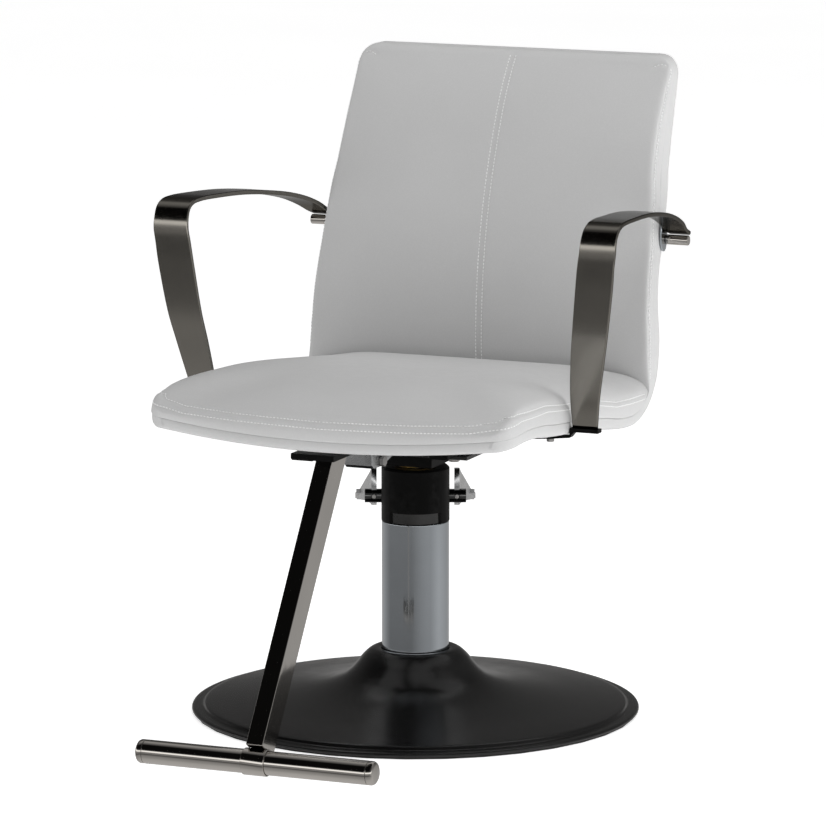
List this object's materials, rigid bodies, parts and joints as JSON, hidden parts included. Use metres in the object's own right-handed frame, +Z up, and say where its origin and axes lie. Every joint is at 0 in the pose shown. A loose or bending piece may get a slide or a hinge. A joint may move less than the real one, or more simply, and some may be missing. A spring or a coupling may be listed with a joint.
{
  "type": "hydraulic salon styling chair",
  "caption": "Padded salon chair on a round base, raised by a foot-pumped hydraulic column, with open strap arms and a leaning bar footrest.",
  "frame": {"origin": "on the floor under the middle of the round base, on the swivel axis (the ballast plate's flat underside is 1 mm above it)", "axes": "+Z up along the column; the sitter faces -Y, so the footrest is at -Y and the backrest at +Y; +X is the sitter's left"},
  "size_m": [0.6546, 0.9364, 0.853],
  "materials": {
    "upholstery": "light grey grained vinyl leather",
    "plywood": "bare plywood",
    "satin_black": "satin black paint",
    "black_casting": "black paint on castings",
    "chrome": "polished chrome plate",
    "zinc_steel": "machined and zinc plated",
    "dark_nickel": "dark nickel plate",
    "cast_iron": "raw casting",
    "cast_aluminium": "bare casting",
    "rubber": "matt",
    "brass": "turned"
  },
  "bodies": {
    "base": {"base_cover": "satin_black", "floor_ring": "rubber", "base_ballast": "cast_iron", "pump_flange": "cast_iron", "pump_bolt_1": "zinc_steel", "pump_bolt_2": "zinc_steel", "pump_bolt_3": "zinc_steel", "pump_bolt_4": "zinc_steel", "pump_cover_tube": "chrome", "pump_cylinder": "zinc_steel", "pump_head": "black_casting", "tube_clamp_ring": "zinc_steel", "ram_seal": "rubber", "gland_ring": "brass", "plunger_spring": "zinc_steel"},
    "lever": {"lever_shaft": "zinc_steel", "pedal_lever": "cast_aluminium", "lever_screw_left": "zinc_steel", "lever_screw_right": "zinc_steel"},
    "plunger": {"pump_plunger": "zinc_steel"},
    "ram": {"ram_rod": "chrome", "piston_seal": "rubber", "thrust_washer": "brass", "retaining_washer": "zinc_steel", "retaining_bolt": "zinc_steel"},
    "seat": {"seat_hub": "cast_aluminium", "seat_plate": "zinc_steel", "seat_rail_left": "black_casting", "seat_rail_right": "black_casting", "frame_bolt_1": "zinc_steel", "frame_bolt_2": "zinc_steel", "frame_bolt_3": "zinc_steel", "frame_bolt_4": "zinc_steel", "front_beam": "cast_aluminium", "beam_bolt": "zinc_steel", "beam_nut": "zinc_steel", "footrest_bracket": "black_casting", "seat_back_shell": "upholstery", "seat_board": "plywood", "seat_cushion": "upholstery", "back_board": "plywood", "back_cushion": "upholstery", "arm_band_left": "dark_nickel", "arm_band_right": "dark_nickel", "arm_foot_left": "black_casting", "arm_foot_right": "black_casting", "arm_screw_left": "zinc_steel", "arm_screw_right": "zinc_steel", "arm_plate_left": "chrome", "arm_plate_right": "chrome", "arm_rod_left": "chrome", "arm_rod_right": "chrome", "footrest_strut": "dark_nickel", "footrest_bar": "dark_nickel", "footrest_collar": "dark_nickel", "footrest_cap_left": "dark_nickel", "footrest_cap_right": "dark_nickel"}
  },
  "joints": [
    {"name": "lever_press", "type": "hinge", "parent": "base", "child": "lever", "pos_m": [-0.01186, 0.02864, 0.2855], "axis": [-0.9239, -0.3827, 0], "range_deg": [0, 20], "stiffness_Nm_per_rad": 15, "springref_deg": -20.05},
    {"name": "plunger_slide", "type": "slide", "parent": "base", "child": "plunger", "axis": [0, 0, -1], "range_m": [0, 0.009]},
    {"name": "ram_lift", "type": "slide", "parent": "base", "child": "ram", "axis": [0, 0, 1], "range_m": [0, 0.15]},
    {"name": "seat_swivel", "type": "hinge", "parent": "ram", "child": "seat", "pos_m": [0, 0, 0.35], "axis": [0, 0, 1], "continuous": true}
  ],
  "couplings": [
    {"joint": "plunger_slide", "follows": "lever_press", "m_per_rad": 0.022}
  ]
}
